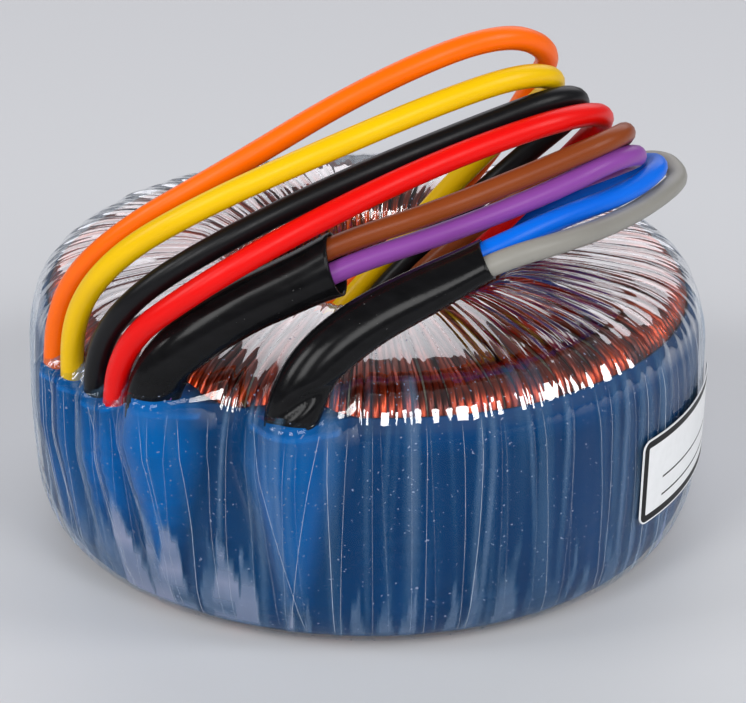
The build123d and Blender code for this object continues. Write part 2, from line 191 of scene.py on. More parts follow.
def rescale(tree, value, low, high, start=0.0, end=1.0):
    """A value from start..end to low..high."""
    return put(
        tree, "ShaderNodeMapRange",
        {"Value": value, "From Min": start, "From Max": end, "To Min": low, "To Max": high},
    ).outputs[0]


def blended(tree, factor, one, two):
    """One colour running into another."""
    mix = put(tree, "ShaderNodeMix", data_type="RGBA")
    for socket, value in zip((mix.inputs[0], mix.inputs[6], mix.inputs[7]), (factor, one, two)):
        if isinstance(value, bpy.types.NodeSocket):
            tree.links.new(value, socket)
        else:
            socket.default_value = value
    return mix.outputs[2]


def where(tree):
    """A place in the object's own coordinates, in metres."""
    return put(tree, "ShaderNodeTexCoord").outputs["Object"]


def mottle(tree, scale, detail=3.0, stretch=(1, 1, 1)):
    """Noise in the object's own coordinates, with features about 1/scale metres across."""
    sized = put(tree, "ShaderNodeMapping", {"Vector": where(tree), "Scale": stretch})
    return put(
        tree, "ShaderNodeTexNoise",
        {"Vector": sized.outputs[0], "Scale": scale, "Detail": detail},
    ).outputs[0]


def marked(tree, label):
    """The number that a piece's mesh keeps under a label."""
    return put(tree, "ShaderNodeAttribute", attribute_name=label).outputs["Fac"]


def relief(tree, height, strength, distance):
    """Bump from a height, its distance in metres."""
    return put(
        tree, "ShaderNodeBump", {"Height": height, "Strength": strength, "Distance": distance}
    ).outputs[0]


def empty_finish(name):
    """A material with nothing but its output, and its node tree."""
    finish = bpy.data.materials.new(name)
    finish.use_nodes = True
    finish.node_tree.nodes.clear()
    return finish, finish.node_tree


def show(tree, surface):
    """Ends a material's tree in a surface."""
    put(tree, "ShaderNodeOutputMaterial", {"Surface": surface.outputs[0]})


def mixed(tree, factor, one, two):
    """One surface running into another."""
    return put(tree, "ShaderNodeMixShader", {0: factor, 1: one.outputs[0], 2: two.outputs[0]})


def show_solid(tree, inputs):
    """Ends a material's tree in a Principled surface."""
    show(tree, put(tree, "ShaderNodeBsdfPrincipled", inputs))


def tone(*rgb):
    return (*rgb, 1.0)


# ---- finishes ----
# Painted light and shade: the copper is painted brighter near the band and darker on the top.
COPPER_PAINTED_LIT_Z, COPPER_PAINTED_SHADE_Z = 29.0, 31.8  # the copper is bright below and dark above
def enamelled_copper(name, dark, bright):
    """Copper under red-brown enamel: each turn its own tone, with painted shade darkening it
    above the band.
    """
    finish, tree = empty_finish(name)
    own = sums(tree, "MULTIPLY", marked(tree, "turn_shade"), 0.35)
    patches = sums(tree, "SUBTRACT", sums(tree, "MULTIPLY", mottle(tree, 230, 3), 2.6), 1.0)
    height = put(tree, "ShaderNodeSeparateXYZ", {0: where(tree)}).outputs["Z"]
    # painted shade: darker with height above the band
    painted_shade_by_height = rescale(tree, height, 0.42, 1.0, COPPER_PAINTED_SHADE_Z * MM, COPPER_PAINTED_LIT_Z * MM)
    shade = sums(tree, "MULTIPLY", sums(tree, "ADD", patches, own, clamp=True), painted_shade_by_height)
    marks = mottle(tree, 2400, 2)
    show_solid(tree, {
        "Base Color": blended(tree, shade, dark, bright),
        "Metallic": 0.8,
        "Roughness": rescale(tree, marks, 0.24, 0.4),
        "Normal": relief(tree, marks, 0.12, 0.00002),
        "Coat Weight": 0.3,
        "Coat Roughness": 0.15,
    })
    return finish


def lead_insulation(name, colour, deep):
    """Satin PVC: a little cloudy, with fine marks from being drawn and handled."""
    finish, tree = empty_finish(name)
    grain = mottle(tree, 1500, 3)
    show_solid(tree, {
        "Base Color": blended(tree, mottle(tree, 90, 4), colour, deep),
        "Roughness": rescale(tree, grain, 0.27, 0.42),
        "Normal": relief(tree, grain, 0.15, 0.00003),
        "Specular IOR Level": 0.2,
    })
    return finish


def shrunk_sleeve():
    """Black heat-shrink sleeve: glossy, with the faint streaks that shrinking leaves."""
    finish, tree = empty_finish("black_sleeve")
    streaks = mottle(tree, 420, 3, (1, 1, 2.5))
    specks = sums(tree, "GREATER_THAN", mottle(tree, 2600, 2), 0.76)
    black = blended(tree, streaks, tone(0.002, 0.002, 0.0022), tone(0.008, 0.008, 0.009))
    show_solid(tree, {
        "Base Color": blended(tree, specks, black, tone(0.08, 0.08, 0.08)),
        "Roughness": rescale(tree, streaks, 0.14, 0.24),
        "Normal": relief(tree, streaks, 0.15, 0.00005),
        "Specular IOR Level": 0.14,
    })
    return finish


def blue_tape():
    """Blue polyester tape, deep where it lies on the copper, with painted light: brighter where
    it stands clear, as if lit through, and along its top edge.
    """
    finish, tree = empty_finish("blue_tape")
    cloudy = mottle(tree, 95, 4, (1, 1, 0.3))
    close = sums(tree, "POWER", mottle(tree, 60, 3, (1, 1, 0.5)), 2.5)
    grain = mottle(tree, 1900, 3)
    blue = blended(tree, cloudy, tone(0.0, 0.026, 0.082), tone(0.0, 0.062, 0.2))
    pressed = blended(tree, close, blue, tone(0.008, 0.01, 0.045))
    show_solid(tree, {
        # painted light: brighter blue where the tape stands clear of the copper
        "Base Color": blended(
            tree, marked(tree, "painted_backlight"), pressed, tone(0.0, 0.12, 0.4)
        ),
        "Roughness": rescale(tree, grain, 0.3, 0.45),
        "Normal": relief(tree, grain, 0.1, 0.00003),
        "Specular IOR Level": 0.06,
    })
    return finish


def clear_film():
    """Clear polyester film, several turns deep: see-through face on, a mirror at a slant.

    A pale diffuse layer over it holds real dust specks and, from a point attribute, painted
    reflections and highlights: pale tongues, stripes and glints. The gloss attribute says how
    much of the mirror is left where the film lies tight on the tape.
    """
    finish, tree = empty_finish("clear_film")
    gloss = marked(tree, "gloss")
    scuff = relief(tree, mottle(tree, 500, 3, (1, 1, 0.3)), 0.05, 0.00003)
    clear = put(tree, "ShaderNodeBsdfTransparent", {"Color": tone(0.94, 0.96, 0.98)})
    shine = put(
        tree, "ShaderNodeBsdfGlossy",
        {"Color": tone(1, 1, 1), "Roughness": 0.045, "Normal": scuff},
    )
    slant = put(tree, "ShaderNodeLayerWeight", {"Blend": 0.5, "Normal": scuff})
    steep = sums(tree, "POWER", slant.outputs["Facing"], 2.6)
    slanted = sums(tree, "MULTIPLY", steep, rescale(tree, gloss, 0.3, 0.85))
    mirror = sums(tree, "ADD", slanted, sums(tree, "MULTIPLY", gloss, 0.14), clamp=True)
    glass = mixed(tree, mirror, clear, shine)
    dust = sums(tree, "GREATER_THAN", mottle(tree, 2700, 1), 0.73)
    # Dust specks are real; the rest of the pale layer is painted reflection and highlights.
    dust_and_sheen = sums(tree, "MAXIMUM", marked(tree, "painted_sheen"), sums(tree, "MULTIPLY", dust, 0.6),
                 clamp=True)
    dust_and_sheen_tint = blended(tree, dust_and_sheen, tone(0.08, 0.26, 0.44), tone(0.5, 0.46, 0.6))
    show(tree, mixed(tree, dust_and_sheen, glass, put(tree, "ShaderNodeBsdfDiffuse", {"Color": dust_and_sheen_tint})))
    return finish


def film_edge():
    """The cut edge of a turn of film: a pale hairline, bolder on some turns."""
    finish, tree = empty_finish("film_edge")
    broken = rescale(tree, mottle(tree, 420, 3), 0.1, 1.2)
    seen = sums(tree, "MULTIPLY", marked(tree, "boldness"), broken, clamp=True)
    clear = put(tree, "ShaderNodeBsdfTransparent", {"Color": tone(1, 1, 1)})
    milk = put(
        tree, "ShaderNodeBsdfPrincipled",
        {"Base Color": tone(0.72, 0.8, 0.9), "Roughness": 0.3},
    )
    show(tree, mixed(tree, seen, clear, milk))
    return finish


LABEL_AZIMUTH, LABEL_Z = -24.0, 14.8
LABEL_W, LABEL_H, LABEL_CORNER = 25.0, 10.5, 1.2
BORDER_W, BORDER_IN = 0.85, 0.18
RULES_Z, RULE_HALF_W, RULE_HALF_T = (-0.6, -2.9), 8.2, 0.12  # the blank lines, from the middle


def box_distance(tree, across, up, half_w, half_h, corner):
    """How far outside a rounded rectangle a place is, below 0 inside it."""
    out = [
        sums(tree, "SUBTRACT", sums(tree, "ABSOLUTE", place), half - corner)
        for place, half in ((across, half_w), (up, half_h))
    ]
    over = [sums(tree, "MAXIMUM", o, 0.0) for o in out]
    squares = [sums(tree, "MULTIPLY", o, o) for o in over]
    reach = sums(tree, "SQRT", sums(tree, "ADD", *squares))
    inside = sums(tree, "MINIMUM", sums(tree, "MAXIMUM", *out), 0.0)
    return sums(tree, "SUBTRACT", sums(tree, "ADD", reach, inside), corner)


def label_print():
    """White label paper under a matt varnish, with a black ruled border and two blank lines."""
    finish, tree = empty_finish("label_print")
    turned = put(
        tree, "ShaderNodeVectorRotate",
        {"Vector": where(tree), "Angle": radians(-LABEL_AZIMUTH)}, rotation_type="Z_AXIS",
    )
    split = put(tree, "ShaderNodeSeparateXYZ", {0: turned.outputs[0]}).outputs
    across, up = split[1], sums(tree, "SUBTRACT", split[2], LABEL_Z * MM)
    edge = box_distance(
        tree, across, up, (LABEL_W / 2 - BORDER_IN) * MM, (LABEL_H / 2 - BORDER_IN) * MM,
        (LABEL_CORNER - BORDER_IN) * MM,
    )
    black = sums(tree, "MULTIPLY", sums(tree, "LESS_THAN", edge, 0.0),
                 sums(tree, "GREATER_THAN", edge, -BORDER_W * MM))
    within = sums(tree, "LESS_THAN", sums(tree, "ABSOLUTE", across), RULE_HALF_W * MM)
    for height in RULES_Z:
        off = sums(tree, "ABSOLUTE", sums(tree, "SUBTRACT", up, height * MM))
        line = sums(tree, "MULTIPLY", sums(tree, "LESS_THAN", off, RULE_HALF_T * MM), within)
        black = sums(tree, "MAXIMUM", black, line)
    fibre = mottle(tree, 900, 4)
    paper = blended(tree, fibre, tone(0.76, 0.77, 0.78), tone(0.86, 0.87, 0.88))
    show_solid(tree, {
        "Base Color": blended(tree, black, paper, tone(0.004, 0.004, 0.004)),
        "Roughness": rescale(tree, fibre, 0.35, 0.5),
        "Normal": relief(tree, fibre, 0.1, 0.00003),
        "Specular IOR Level": 0.2,
    })
    return finish


def plain_stock(name, dark, bright, scale, metallic=0.0, rough=(0.35, 0.55), stretch=(1, 1, 1)):
    """A worked material with its grain: tape, strip steel or a tinned strand."""
    finish, tree = empty_finish(name)
    grain = mottle(tree, scale, 4, stretch)
    show_solid(tree, {
        "Base Color": blended(tree, grain, dark, bright),
        "Metallic": metallic,
        "Roughness": rescale(tree, grain, *rough),
        "Normal": relief(tree, grain, 0.25, 0.00004),
    })
    return finish


copper = enamelled_copper("enamelled_copper", tone(0.08, 0.009, 0.004), tone(0.78, 0.085, 0.012))
# Painted shade: a darker copy of the enamelled copper for the turns and windings that lie under
# others.
shaded_copper = enamelled_copper("shaded_copper", tone(0.16, 0.024, 0.008), tone(0.36, 0.07, 0.02))
sleeve_black = shrunk_sleeve()
tape_blue = blue_tape()
film_clear = clear_film()
edge_pale = film_edge()
label_white = label_print()
strip_steel = plain_stock("strip_steel", tone(0.2, 0.2, 0.21), tone(0.4, 0.4, 0.42), 500, 1.0)
inner_tape = plain_stock("inner_tape", tone(0.62, 0.58, 0.4), tone(0.8, 0.77, 0.6), 300)
tinned = plain_stock("tinned_strands", tone(0.4, 0.4, 0.4), tone(0.72, 0.72, 0.72), 1800, 1.0,
                     (0.2, 0.4), (1, 1, 0.15))
INSULATION = {
    colour: lead_insulation(f"{colour}_pvc", tone(*fresh), tone(*deep))
    for colour, fresh, deep in (
        ("orange", (1.0, 0.16, 0.0), (0.9, 0.125, 0.0)),
        ("yellow", (0.86, 0.54, 0.0), (0.78, 0.46, 0.0)),
        ("black", (0.002, 0.002, 0.003), (0.006, 0.006, 0.007)),
        ("red", (0.82, 0.003, 0.002), (0.7, 0.002, 0.001)),
        ("brown", (0.26, 0.055, 0.01), (0.2, 0.04, 0.008)),
        ("purple", (0.27, 0.07, 0.36), (0.22, 0.05, 0.3)),
        ("blue", (0.0, 0.16, 0.8), (0.0, 0.12, 0.68)),
        ("grey", (0.3, 0.29, 0.26), (0.25, 0.24, 0.215)),
    )
}


# ---- section of the ring ----
def smooth_loop(points, spacing):
    """A closed smooth line through the points; spacing(point) is how far apart its places lie."""
    p = np.array(points, float)
    count = len(p)
    runs = np.roll(p, -1, 0) - p
    long = np.linalg.norm(runs, axis=1)
    lean = runs / long[:, None] ** 2
    lean = lean + np.roll(lean, 1, 0)
    lean /= np.linalg.norm(lean, axis=1)[:, None]
    out = []
    for i in range(count):
        a, b = p[i], p[(i + 1) % count]
        da, db = lean[i] * long[i], lean[(i + 1) % count] * long[i]
        steps = max(1, round(long[i] / spacing((a + b) / 2)))
        for k in range(steps):
            t = k / steps
            out.append(
                (2 * t**3 - 3 * t**2 + 1) * a + (t**3 - 2 * t**2 + t) * da
                + (3 * t**2 - 2 * t**3) * b + (t**3 - t**2) * db
            )
    return np.array(out)


def row_spacing(at):
    """Rows lie close where the skins bend, and apart on the flats."""
    r, z = at
    if z < 0.5:
        return 3.4
    if r > SIDE_R and z > 24:
        return 0.85
    if r > 36 and z < 6:
        return 1.2
    return 1.7


LINE = smooth_loop(SECTION, row_spacing)
LINE[:, 1] = np.maximum(LINE[:, 1], 0.0)
AHEAD = np.roll(LINE, -1, 0) - np.roll(LINE, 1, 0)
AHEAD /= np.linalg.norm(AHEAD, axis=1)[:, None]
OUT = np.stack([AHEAD[:, 1], -AHEAD[:, 0]], 1)  # unit normals, away from the section
ON_SIDE = LINE[:, 0] > SIDE_R
ROWS = len(LINE)
ALONG = np.concatenate([[0], np.cumsum(np.linalg.norm(np.diff(LINE, axis=0), axis=1))])
ALONG /= ALONG[-1] * (1 + 1 / ROWS)


def side_radius(height, depth):
    """Radius of the line at a depth under the film's valleys, at heights on the side."""
    rows = ON_SIDE & (LINE[:, 1] > 0.6)
    r, z = (LINE[rows] - OUT[rows] * depth).T
    order = np.argsort(z)
    return np.interp(height, z[order], r[order])


# ---- curves and fields ----
def wrapped(angle):
    """An angle brought to within half a turn either way."""
    return (angle + pi) % TURN - pi


def swelling(off, spread):
    """1 where off is 0, dying away over the spread."""
    return np.exp(-((off / spread) ** 2))


def wander(seed, cells_round, cells_along, at_round, at_along):
    """Smooth noise in -1..1: at_round in turns of the ring, at_along in 0..1 of the section."""
    dice = np.random.default_rng(seed)
    grid = dice.uniform(-1, 1, (cells_round, cells_along))

    def weights(x):
        low = np.floor(x).astype(int)
        t = x - low
        return low, t * t * (3 - 2 * t)

    i, fi = weights(at_round * cells_round)
    j, fj = weights(at_along * cells_along)
    i0, i1 = i % cells_round, (i + 1) % cells_round
    j0, j1 = j % cells_along, (j + 1) % cells_along
    return (
        grid[i0, j0] * (1 - fi) * (1 - fj) + grid[i1, j0] * fi * (1 - fj)
        + grid[i0, j1] * (1 - fi) * fj + grid[i1, j1] * fi * fj
    )


def ring_mesh(name, points):
    """A ring of quads from an array of (columns, rows, xyz) in metres, closed both ways."""
    columns, rows = points.shape[:2]
    i, j = np.meshgrid(np.arange(columns), np.arange(rows), indexing="ij")
    i1, j1 = (i + 1) % columns, (j + 1) % rows
    quads = np.stack([i * rows + j, i1 * rows + j, i1 * rows + j1, i * rows + j1], -1)
    mesh = bpy.data.meshes.new(name)
    mesh.vertices.add(columns * rows)
    mesh.vertices.foreach_set("co", points.reshape(-1).astype(np.float32))
    total = columns * rows
    mesh.loops.add(total * 4)
    mesh.loops.foreach_set("vertex_index", quads.reshape(-1).astype(np.int32))
    mesh.polygons.add(total)
    mesh.polygons.foreach_set("loop_start", np.arange(0, total * 4, 4, dtype=np.int32))
    mesh.update(calc_edges=True)
    mesh.validate()
    mesh.shade_smooth()
    return mesh


def mark(mesh, label, values):
    """Keeps a number with each point of a mesh, under a label."""
    held = mesh.attributes.new(label, "FLOAT", "POINT")
    held.data.foreach_set("value", np.asarray(values, np.float32).reshape(-1))


def placed(name, data):
    """A new object in the scene."""
    made = bpy.data.objects.new(name, data)
    bpy.context.collection.objects.link(made)
    return made


def piece(name, data, finish, replaces=()):
    """A finished piece in the scene, riding on the one body."""
    made = placed(name, data)
    data.materials.clear()
    data.materials.append(finish)
    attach(made, "root")
    if replaces:
        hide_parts(*replaces)
    return made


# ---- how the skins lift over what comes out from under them ----
def around_from(azimuth, x, y):
    """How far an azimuth is from a place's own, in radians either way."""
    return wrapped(azimuth - np.arctan2(y, x))


def lift(azimuth, height, depth, fade):
    """How far a skin that lies at a depth stands out over the leads, at places on the side.

    Above the band's edge it falls back within the fade.
    """
    cover = BORE_GAP + FILM_T + SKIN_GAP + BAND_T - depth
    base = side_radius(height, depth)
    most = np.zeros(np.broadcast(azimuth, height).shape)
    for e in EXITS:
        gone_by = np.clip((height - e.start) / (e.top - e.start), 0, 1.3)
        x, y = e.x + (e.top_x - e.x) * gone_by, e.y + (e.top_y - e.y) * gone_by
        climb = np.clip((height - RIDGE_FOOT) / (e.start - RIDGE_FLOOR - RIDGE_FOOT), 0, 1)
        still = np.clip(1 - (height - e.top - EDGE_RISE) / fade, 0, 1)
        centre = (RING_R - FILM_T - BAND_T) * (1 - climb) + np.hypot(x, y) * climb
        half_wide = RIDGE_FOOT_R * (1 - climb) + (e.wide / 2 + cover) * climb
        half_thick = RIDGE_FOOT_R * (1 - climb) + (e.thick / 2 + cover) * climb
        off = around_from(azimuth, x, y)
        aside = np.abs(centre * np.sin(off)) / half_wide
        flank = 0.5 * (TENT_REACH - aside) / (TENT_REACH - 1)
        tent = np.where(aside < 1, 1 - 0.5 * aside**2, np.maximum(flank, 0))
        tent *= (np.cos(off) > 0) * np.clip((height - RIDGE_FOOT + RIDGE_RUN) / RIDGE_RUN, 0, 1)
        high = np.maximum(centre + half_thick - base, 0)
        most = np.maximum(most, high * tent * still)
    return most


# ---- enamelled turns ----
def turn_path(name, depth, every):
    """One turn's centre line in the XZ plane, a loop that knows which way is inwards."""
    under_band = ON_SIDE * np.clip((29.6 - LINE[:, 1]) / 1.4, 0, 1)
    under_band = under_band * np.clip((LINE[:, 1] - 0.4) / 1.1, 0, 1) * (BAND_T + SKIN_GAP)
    line = LINE - OUT * (depth + under_band[:, None])
    picked = list(range(0, ROWS, every))
    mesh = bpy.data.meshes.new(name)
    mesh.from_pydata(
        [(line[i][0] * MM, 0, line[i][1] * MM) for i in picked],
        [(k, (k + 1) % len(picked)) for k in range(len(picked))],
        [],
    )
    for label, axis in (("in_r", 0), ("in_z", 1)):
        mark(mesh, label, [-OUT[i][axis] for i in picked])
    return placed(name, mesh)


def growing_tree(name, source, sizes):
    """A geometry tree with a source, named sizes and a finish, and what it is given."""
    tree = bpy.data.node_groups.new(name, "GeometryNodeTree")
    tree.interface.new_socket("Geometry", in_out="OUTPUT", socket_type="NodeSocketGeometry")
    for label, kind in {source: "Geometry", **sizes, "Finish": "Material"}.items():
        tree.interface.new_socket(label, in_out="INPUT", socket_type=f"NodeSocket{kind}")
    return tree, put(tree, "NodeGroupInput").outputs


def thickened(tree, given, lines, thickness, caps=False):
    """Round wire along the lines of a mesh."""
    wire = put(tree, "GeometryNodeCurvePrimitiveCircle",
               {"Resolution": given["Sides"],
                "Radius": sums(tree, "MULTIPLY", given[thickness], 0.5)}).outputs[0]
    return put(tree, "GeometryNodeCurveToMesh",
               {"Curve": put(tree, "GeometryNodeMeshToCurve", {0: lines}).outputs[0],
                "Profile Curve": wire, "Fill Caps": caps}).outputs[0]


def give_back(tree, given, geometry):
    """Ends a geometry tree in plain geometry with its finish."""
    plain = put(tree, "GeometryNodeRealizeInstances", {0: geometry}).outputs[0]
    done = put(tree, "GeometryNodeSetMaterial",
               {"Geometry": plain, "Material": given["Finish"]})
    put(tree, "NodeGroupOutput", {0: done.outputs[0]})
    return tree


def wound_turns_tree():
    """Winds loops round the ring, crowding into three levels where the throat has no room."""
    tree, given = growing_tree("wound_turns", "Turn", {
        "Turns": "Int", "Wire": "Float", "Loose": "Float", "Wave": "Float",
        "Jitter": "Float", "Sides": "Int", "Seed": "Int",
    })

    def random(low, high, seed):
        return put(tree, "FunctionNodeRandomValue",
                   {2: low, 3: high, 8: seed}, data_type="FLOAT").outputs[1]

    index = put(tree, "GeometryNodeInputIndex").outputs[0]
    row = put(tree, "GeometryNodeMeshLine", {"Count": given["Turns"], "Offset": (0, 0, 0)})
    points = put(tree, "GeometryNodeMeshToPoints", {0: row.outputs[0]}).outputs[0]

    def store(geometry, label, value):
        return put(
            tree, "GeometryNodeStoreNamedAttribute",
            {"Geometry": geometry, "Name": label, "Value": value},
            data_type="FLOAT", domain="POINT",
        ).outputs[0]

    def read(label):
        return put(tree, "GeometryNodeInputNamedAttribute", {"Name": label},
                   data_type="FLOAT").outputs[0]

    points = store(points, "turn_shade", random(0.0, 1.0, given["Seed"]))
    points = store(points, "turn_level", sums(tree, "MODULO", index, float(LEVELS)))
    points = store(points, "turn_slack", random(-1.0, 1.0, sums(tree, "ADD", given["Seed"], 5)))
    pitch = sums(tree, "DIVIDE", TURN, given["Turns"])
    play = sums(tree, "MULTIPLY", pitch, given["Jitter"])
    jitter = sums(tree, "MULTIPLY", read("turn_slack"), play)
    seat = sums(tree, "MULTIPLY", sums(tree, "ADD", index, LEVELS / 2), pitch)
    angle = sums(tree, "ADD", seat, jitter)
    turned = put(tree, "ShaderNodeCombineXYZ", {2: angle}).outputs[0]
    wound = put(tree, "GeometryNodeInstanceOnPoints",
                {"Points": points, "Instance": given["Turn"], "Rotation": turned})
    real = put(tree, "GeometryNodeRealizeInstances", {0: wound.outputs[0]}).outputs[0]
    place = put(tree, "GeometryNodeInputPosition").outputs[0]
    xyz = put(tree, "ShaderNodeSeparateXYZ", {0: place}).outputs
    radius = sums(tree, "SQRT", sums(tree, "ADD", sums(tree, "MULTIPLY", xyz[0], xyz[0]),
                                     sums(tree, "MULTIPLY", xyz[1], xyz[1])))
    azimuth = sums(tree, "ARCTAN2", xyz[1], xyz[0])
    room = sums(tree, "MULTIPLY", pitch, radius)
    short = sums(tree, "SUBTRACT", sums(tree, "MULTIPLY", given["Wire"], given["Wire"]),
                 sums(tree, "MULTIPLY", room, room))
    stack = sums(tree, "SQRT", sums(tree, "MAXIMUM", short, 0.0))
    drift = put(tree, "ShaderNodeTexNoise", {"Vector": place, "Scale": 150.0, "Detail": 1.0})
    swell = sums(tree, "MULTIPLY", sums(tree, "SUBTRACT", drift.outputs[0], 0.5), given["Wave"])
    slack = sums(tree, "MULTIPLY", sums(tree, "ABSOLUTE", read("turn_slack")), given["Loose"])
    sink = sums(tree, "ADD", sums(tree, "MULTIPLY", read("turn_level"), stack),
                sums(tree, "ADD", slack, sums(tree, "ABSOLUTE", swell)))
    inward = put(tree, "ShaderNodeCombineXYZ",
                 {0: sums(tree, "MULTIPLY", read("in_r"), sink), 1: swell,
                  2: sums(tree, "MULTIPLY", read("in_z"), sink)})
    shift = put(tree, "ShaderNodeVectorRotate",
                {"Vector": inward.outputs[0], "Angle": azimuth}, rotation_type="Z_AXIS")
    settled = put(tree, "GeometryNodeSetPosition", {"Geometry": real, "Offset": shift.outputs[0]})
    skin = thickened(tree, given, settled.outputs[0], "Wire")
    smooth = put(tree, "GeometryNodeSetShadeSmooth", {0: skin})
    return give_back(tree, given, smooth.outputs[0])


def grown(source, tree, **values):
    """The plain mesh that a tree makes of an object, with its named inputs set."""
    change = source.modifiers.new("grow", "NODES")
    change.node_group = tree
    sockets = {i.name: i.identifier for i in tree.interface.items_tree if i.in_out == "INPUT"}
    for label, value in values.items():
        change[sockets[label]] = value
    evaluated = source.evaluated_get(bpy.context.evaluated_depsgraph_get())
    mesh = bpy.data.meshes.new_from_object(evaluated)
    source.modifiers.clear()
    bpy.data.objects.remove(source)
    return mesh


wound_turns = wound_turns_tree()
piece(
    "secondary_turns",
    grown(
        turn_path("turn_path", TURNS_DEPTH, 2), wound_turns,
        Turns=TURNS, Wire=WIRE_D * MM, Loose=0.1 * MM, Wave=0.3 * MM, Jitter=0.15, Sides=6,
        Seed=3, Finish=copper,
    ),
    copper, ["secondary_winding"],
)
# Coarser turns fill the gaps between them from below.
piece(
    "buried_turns",
    grown(
        turn_path("buried_path", TURNS_DEPTH + BURIED_BELOW, 3), wound_turns,
        Turns=BURIED_TURNS, Wire=BURIED_D * MM, Loose=0.05 * MM, Wave=0.1 * MM, Jitter=0.05,
        Sides=5, Seed=9, Finish=shaded_copper,
    ),
    shaded_copper,
)

# ---- clear film ----
FILM_COLUMNS = 1020
FOLDS = 92
PLEATS = 170
FILM_PROUD, CRUMPLE = 0.36, 0.4  # the most that folds and crumples stand out
# Painted reflection: pale tongues painted up from the foot of the side, and where they gather.
PAINTED_TONGUES = 84
GATHERINGS = ((-2.2, 0.36, 1.0), (-1.15, 0.24, 0.3))  # of tongues: azimuth, spread, how much
CLINGS_TO_Z = 26.3  # up to here the film clings to the tape and has little gloss of its own
LAPS, EDGE_BEAD_D = 124, 0.065
dice = np.random.default_rng(11)
C, T = np.meshgrid(np.arange(FILM_COLUMNS) / FILM_COLUMNS, ALONG, indexing="ij")
heights = np.broadcast_to(LINE[None, :, 1], C.shape)
# The folds are pressed flat underneath and are lower on the side than on top.
on_top = np.clip((LINE[:, 1] - 20) / 6, 0, 1)
standing = (np.clip(LINE[:, 1] / 3, 0, 1) ** 1.2 * (0.35 + 0.65 * on_top))[None, :]
arc = TURN * RING_R  # what one whole turn of C measures on the side, in mm


def turned_from(at):
    """How far every place of the film is from a place round the ring, in mm on the side."""
    return ((C - at + 0.5) % 1 - 0.5) * arc


# Folds: flat facets that rise slowly and drop sharply, one way or the other.
folds = np.zeros(C.shape)
for k in range(FOLDS):
    at = (k + dice.uniform(-0.38, 0.38)) / FOLDS
    wide, tall = dice.uniform(1.6, 4.6), dice.uniform(0.1, 0.42)
    way = dice.choice([-1, 1])
    sweep = dice.uniform(-0.9, 0.9)
    x = (turned_from(at) + sweep * np.sin(TURN * T + k)) / wide * way
    facet = np.where(x < 0, np.clip(1 + x, 0, 1), np.clip(1 - x / 0.32, 0, 1))
    swing = 0.5 + 0.5 * wander(100 + k, 1, 6, 0, T)
    folds = np.maximum(folds, tall * facet * (0.2 + 0.8 * swing))
# Between them the film is finely pleated all round.
pleats = np.zeros(C.shape)
for k in range(PLEATS):
    at = (k + dice.uniform(-0.45, 0.45)) / PLEATS
    wide, tall = dice.uniform(0.6, 1.5), dice.uniform(0.04, 0.17)
    x = np.abs(turned_from(at) + 0.5 * np.sin(TURN * T * 2 + k)) / wide
    pleats = np.maximum(pleats, tall * np.clip(1 - x, 0, 1))
swell = 0.1 * wander(21, 64, 6, C, T) + 0.05
# The side above where the film rolls under, and how it stands over the leads there.
upright_side = ON_SIDE & (LINE[:, 1] > 3)
azimuth = C * TURN + radians(1.0) * wander(24, 15, 3, C, T)
azimuth = azimuth + radians(0.3) * wander(25, 50, 5, C, T)
raised = np.zeros(C.shape)
raised[:, upright_side] = lift(azimuth[:, upright_side], heights[:, upright_side], 0.0, 3.2)
# Beside each exit the film is crumpled.
crumple = np.zeros(C.shape)
for e in EXITS:
    off = np.abs(around_from(azimuth, e.top_x, e.top_y)) * RING_R - e.wide / 2 - 0.9
    near = swelling(off, 1.1) * swelling(heights - e.top - 0.5, 3.2)
    crumple = np.maximum(crumple, near)
crumple *= CRUMPLE * wander(27, 270, 26, C, T) * upright_side[None, :]
proud = np.clip(0.7 * folds + pleats + np.maximum(swell, 0), 0, FILM_PROUD) * standing
proud = proud * np.clip(1 - raised / 2.4, 0.18, 1) + crumple * (crumple > -0.12)
radial = LINE[None, :, 0] + OUT[None, :, 0] * proud + raised
upward = np.maximum(LINE[None, :, 1] + OUT[None, :, 1] * proud, 0)
film_points = np.stack([radial * np.cos(azimuth), radial * np.sin(azimuth), upward], -1)
film_mesh = ring_mesh("film", film_points * MM)

# Painted reflection: where the film rolls under, pale milky tongues that point upwards are
# painted into it, standing in for the reflection of a low light.
painted_sheen = np.zeros(C.shape)
for k in range(PAINTED_TONGUES):
    at = (k + dice.uniform(-0.4, 0.4)) / PAINTED_TONGUES
    gathered = sum(
        share * swelling(wrapped(at * TURN - place), spread)
        for place, spread, share in GATHERINGS
    )
    half = dice.uniform(0.35, 1.1) * (1 + 2.3 * gathered)
    tip = dice.uniform(5.5, 12.0) + gathered * dice.uniform(6, 13)
    foot = dice.uniform(1.6, 3.0)
    lean = dice.uniform(-0.12, 0.12)
    sheen_strength = dice.choice([0.34, 0.46, 0.58, 0.7])
    rise = np.clip((heights - foot) / (tip - foot), 0, 1)
    off = turned_from(at) - lean * (heights - foot) - 0.3 * np.sin(heights * 0.7 + k)
    inside = np.clip((half * (1 - rise**1.5) - np.abs(off)) / 0.25, 0, 1)
    seen = inside * (heights > foot) * (rise < 1) * upright_side[None, :]
    painted_sheen = np.maximum(painted_sheen, sheen_strength * seen * (0.65 + 0.35 * wander(300 + k, 1, 40, 0, T)))
